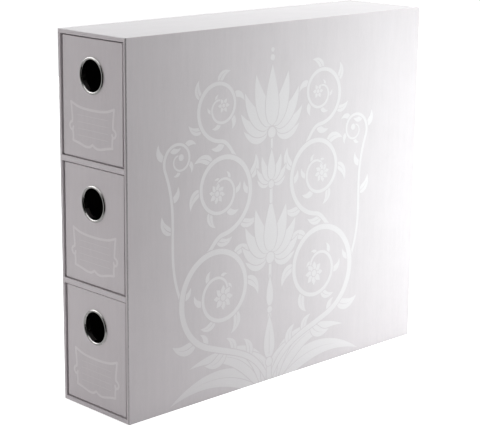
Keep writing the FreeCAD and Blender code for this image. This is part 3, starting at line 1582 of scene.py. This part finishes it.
@dataclass
class Studio:
    """Camera, lamps, white surround, floor and the cards that the metal mirrors."""

    azimuth: float = 46.04
    elevation: float = 13.763
    roll: float = 0.465
    lens: float = 114.39
    place: Place = (0.9404, -0.9177, 0.4627)
    surround_light: float = 0.07
    floor_radius: float = 12.0
    floor_tone: float = 0.86
    fades_from: float = 0.5
    fades_to: float = 2.0
    lamps: tuple[Lamp, ...] = (
        Lamp("low_strip", (0.42, 0.30, 0.10), (0.04, 0.12, 0.12), 0.25, 0.5, 0.88, colour=COOL),
        Lamp("near_strip", (0.28, 0.26, 0.16), (0.04, 0.16, 0.16), 0.1, 0.5, 0.69, colour=COOL),
        Lamp("rear_overhead", (0.1, 0.5, 1.1), (0.0, 0.1, 0.25), 0.8, 0.8, 9.9),
        Lamp("left_overhead", (-0.9, 0.0, 0.9), (0.0, 0.0, 0.3), 0.8, 0.8, 3.25),
        Lamp("front_fill", (-0.6, -1.4, 0.25), (0.0, -0.17, 0.12), 1.0, 0.6, 4.7, mirrored=False),
        Lamp("high_fill", (-0.5, -1.3, 0.9), (0.0, -0.17, 0.16), 0.8, 0.6, 2.0, mirrored=False),
        Lamp("floor_fill", (-0.16, -0.33, 0.02), (-0.035, -0.175, 0.02), 0.2, 0.03, 0.032,
             mirrored=False),
        Lamp("left_fill", (-1.5, 0.9, 0.12), (0.0, 0.0, 0.12), 1.0, 0.3, 10.0),
    )
    cards: tuple[Card, ...] = (
        Card("dark_card", 0.0, 12, 98, 0.2, 2.2, 4.2),
        Card("low_dark_card", 0.0, -20, 12, 0.2, 2.15, 0.9),
        Card("near_grey_card", 0.36, -20, 98, 0.01, 0.2, 0.002),
        Card("front_grey_card", 0.36, -38, 12, 2.28, 2.3, 2.4),
        Card("left_grey_card", 0.36, -102, -20, 0.01, 2.4, 0.5),
        Card("bright_card", 1.25, -125, -42, 2.55, 2.6, 3.6),
    )

    def camera(self) -> bpy.types.Object:
        """Builds the camera.

        Returns:
            The camera.
        """
        turn, lift = math.radians(self.azimuth), math.radians(self.elevation)
        roll = math.radians(self.roll)
        back = Vector((math.sin(turn) * math.cos(lift), -math.cos(turn) * math.cos(lift),
                       math.sin(lift)))
        right = Vector((math.cos(turn), math.sin(turn), 0.0))
        up = back.cross(right)
        level = right * math.cos(roll) + up * math.sin(roll)
        plumb = up * math.cos(roll) - right * math.sin(roll)
        data = bpy.data.cameras.new("camera")
        data.lens = self.lens
        data.sensor_width = 36.0
        data.clip_start, data.clip_end = 0.01, 50.0
        camera = bpy.data.objects.new("camera", data)
        camera.rotation_mode = "QUATERNION"
        camera.rotation_quaternion = Matrix((level, plumb, back)).transposed().to_quaternion()
        camera.location = self.place
        bpy.context.scene.collection.objects.link(camera)
        bpy.context.scene.camera = camera
        return camera

    def surround(self) -> None:
        """Sets a world that looks white and lights the object softly."""
        world = bpy.data.worlds.new("surround")
        bpy.context.scene.world = world
        world.use_nodes = True
        nodes, links = world.node_tree.nodes, world.node_tree.links
        nodes.clear()
        soft, white = nodes.new("ShaderNodeBackground"), nodes.new("ShaderNodeBackground")
        soft.inputs["Strength"].default_value = self.surround_light
        soft.inputs["Color"].default_value = (1, 1, 1, 1)
        white.inputs["Color"].default_value = (1, 1, 1, 1)
        mix, output = nodes.new("ShaderNodeMixShader"), nodes.new("ShaderNodeOutputWorld")
        links.new(self.seen(world.node_tree), mix.inputs["Fac"])
        links.new(soft.outputs[0], mix.inputs[1])
        links.new(white.outputs[0], mix.inputs[2])
        links.new(mix.outputs[0], output.inputs["Surface"])

    def seen(self, graph: bpy.types.NodeTree) -> bpy.types.NodeSocket:
        """Tells rays that show the surround from rays that light the object.

        Args:
            graph: The node graph to add to.

        Returns:
            A socket that is 1 for camera, glossy and transmission rays.
        """
        path = graph.nodes.new("ShaderNodeLightPath")
        total = path.outputs["Is Camera Ray"]
        for name in ("Is Glossy Ray", "Is Transmission Ray"):
            either = graph.nodes.new("ShaderNodeMath")
            either.operation = "MAXIMUM"
            graph.links.new(total, either.inputs[0])
            graph.links.new(path.outputs[name], either.inputs[1])
            total = either.outputs[0]
        return total

    def floor(self) -> bpy.types.Object:
        """Builds the pale floor, which keeps the object's shadow and fades to white further off.

        Returns:
            The floor.
        """
        mesh = bmesh.new()
        mesh.faces.new([mesh.verts.new((u, v, 0.0)) for u, v in circle((0, 0), self.floor_radius)])
        material = bpy.data.materials.new("floor_sweep")
        material.use_nodes = True
        nodes, links = material.node_tree.nodes, material.node_tree.links
        nodes.clear()
        matt, glow = nodes.new("ShaderNodeBsdfDiffuse"), nodes.new("ShaderNodeEmission")
        matt.inputs["Color"].default_value = (self.floor_tone, self.floor_tone, self.floor_tone, 1)
        glow.inputs["Color"].default_value = (1, 1, 1, 1)
        place, reach = nodes.new("ShaderNodeTexCoord"), nodes.new("ShaderNodeVectorMath")
        reach.operation = "LENGTH"
        links.new(place.outputs["Object"], reach.inputs[0])
        white = nodes.new("ShaderNodeMapRange")
        for name, value in (("From Min", self.fades_from), ("From Max", self.fades_to),
                            ("To Min", self.floor_tone), ("To Max", 1.0)):
            white.inputs[name].default_value = value
        links.new(reach.outputs["Value"], white.inputs["Value"])
        share = nodes.new("ShaderNodeMath")
        share.operation = "MULTIPLY"
        links.new(self.seen(material.node_tree), share.inputs[0])
        links.new(white.outputs["Result"], share.inputs[1])
        links.new(share.outputs[0], glow.inputs["Strength"])
        both, output = nodes.new("ShaderNodeAddShader"), nodes.new("ShaderNodeOutputMaterial")
        links.new(matt.outputs[0], both.inputs[0])
        links.new(glow.outputs[0], both.inputs[1])
        links.new(both.outputs[0], output.inputs["Surface"])
        floor = make_piece("floor", mesh, material)
        return floor

    def build(self) -> None:
        """Builds the whole studio."""
        self.camera()
        self.surround()
        self.floor()
        for light in (*self.lamps, *self.cards):
            light.build()
        bpy.context.scene.view_settings.view_transform = "Standard"


def main() -> None:
    """Dresses the frame, builds the studio and reports each piece."""
    logging.basicConfig(level=logging.INFO, format="%(name)s: %(message)s")
    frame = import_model()
    nodes = frame["nodes"]
    # Painted shade on the right side card, deepest near its front edge at mid-height, standing in for
    # light that falls off there.
    painted_front_shade = PaintedFrontShade(centre=(0.0425, -0.19, 0.17), reach=0.17, tone=(0.889, 0.88, 0.882))
    paper = Paper("wrapping_paper", (0.729, 0.681, 0.702)).material()
    card = Paper("side_card_paper", (0.744, 0.681, 0.709), painted_front_shade=painted_front_shade).material()
    covering = Paper("covering_paper", (0.706, 0.693, 0.706), Grain.ALONG).material()
    facing = Paper("facing_paper", (0.729, 0.681, 0.702)).material()
    cut = CutBoard().material()
    lining = BlackLining().material()
    nickel = Nickel().material()
    label = Ink("label_ink", (0.848, 0.803, 0.821)).material()
    rule = Ink("rule_ink", (0.80, 0.754, 0.773)).material()
    print_ink = Ink("side_print_ink", (0.842, 0.792, 0.814)).material()
    for piece in Case(paper, covering, card, cut, print_ink).build(nodes):
        log.info("case: %s", piece.name)
    for number in (1, 2, 3):
        for piece in Drawer(number, paper, facing, lining, nickel, label, rule).build(nodes):
            log.info("drawer %d: %s", number, piece.name)
    Studio().build()


if __name__ == "__main__":
    main()
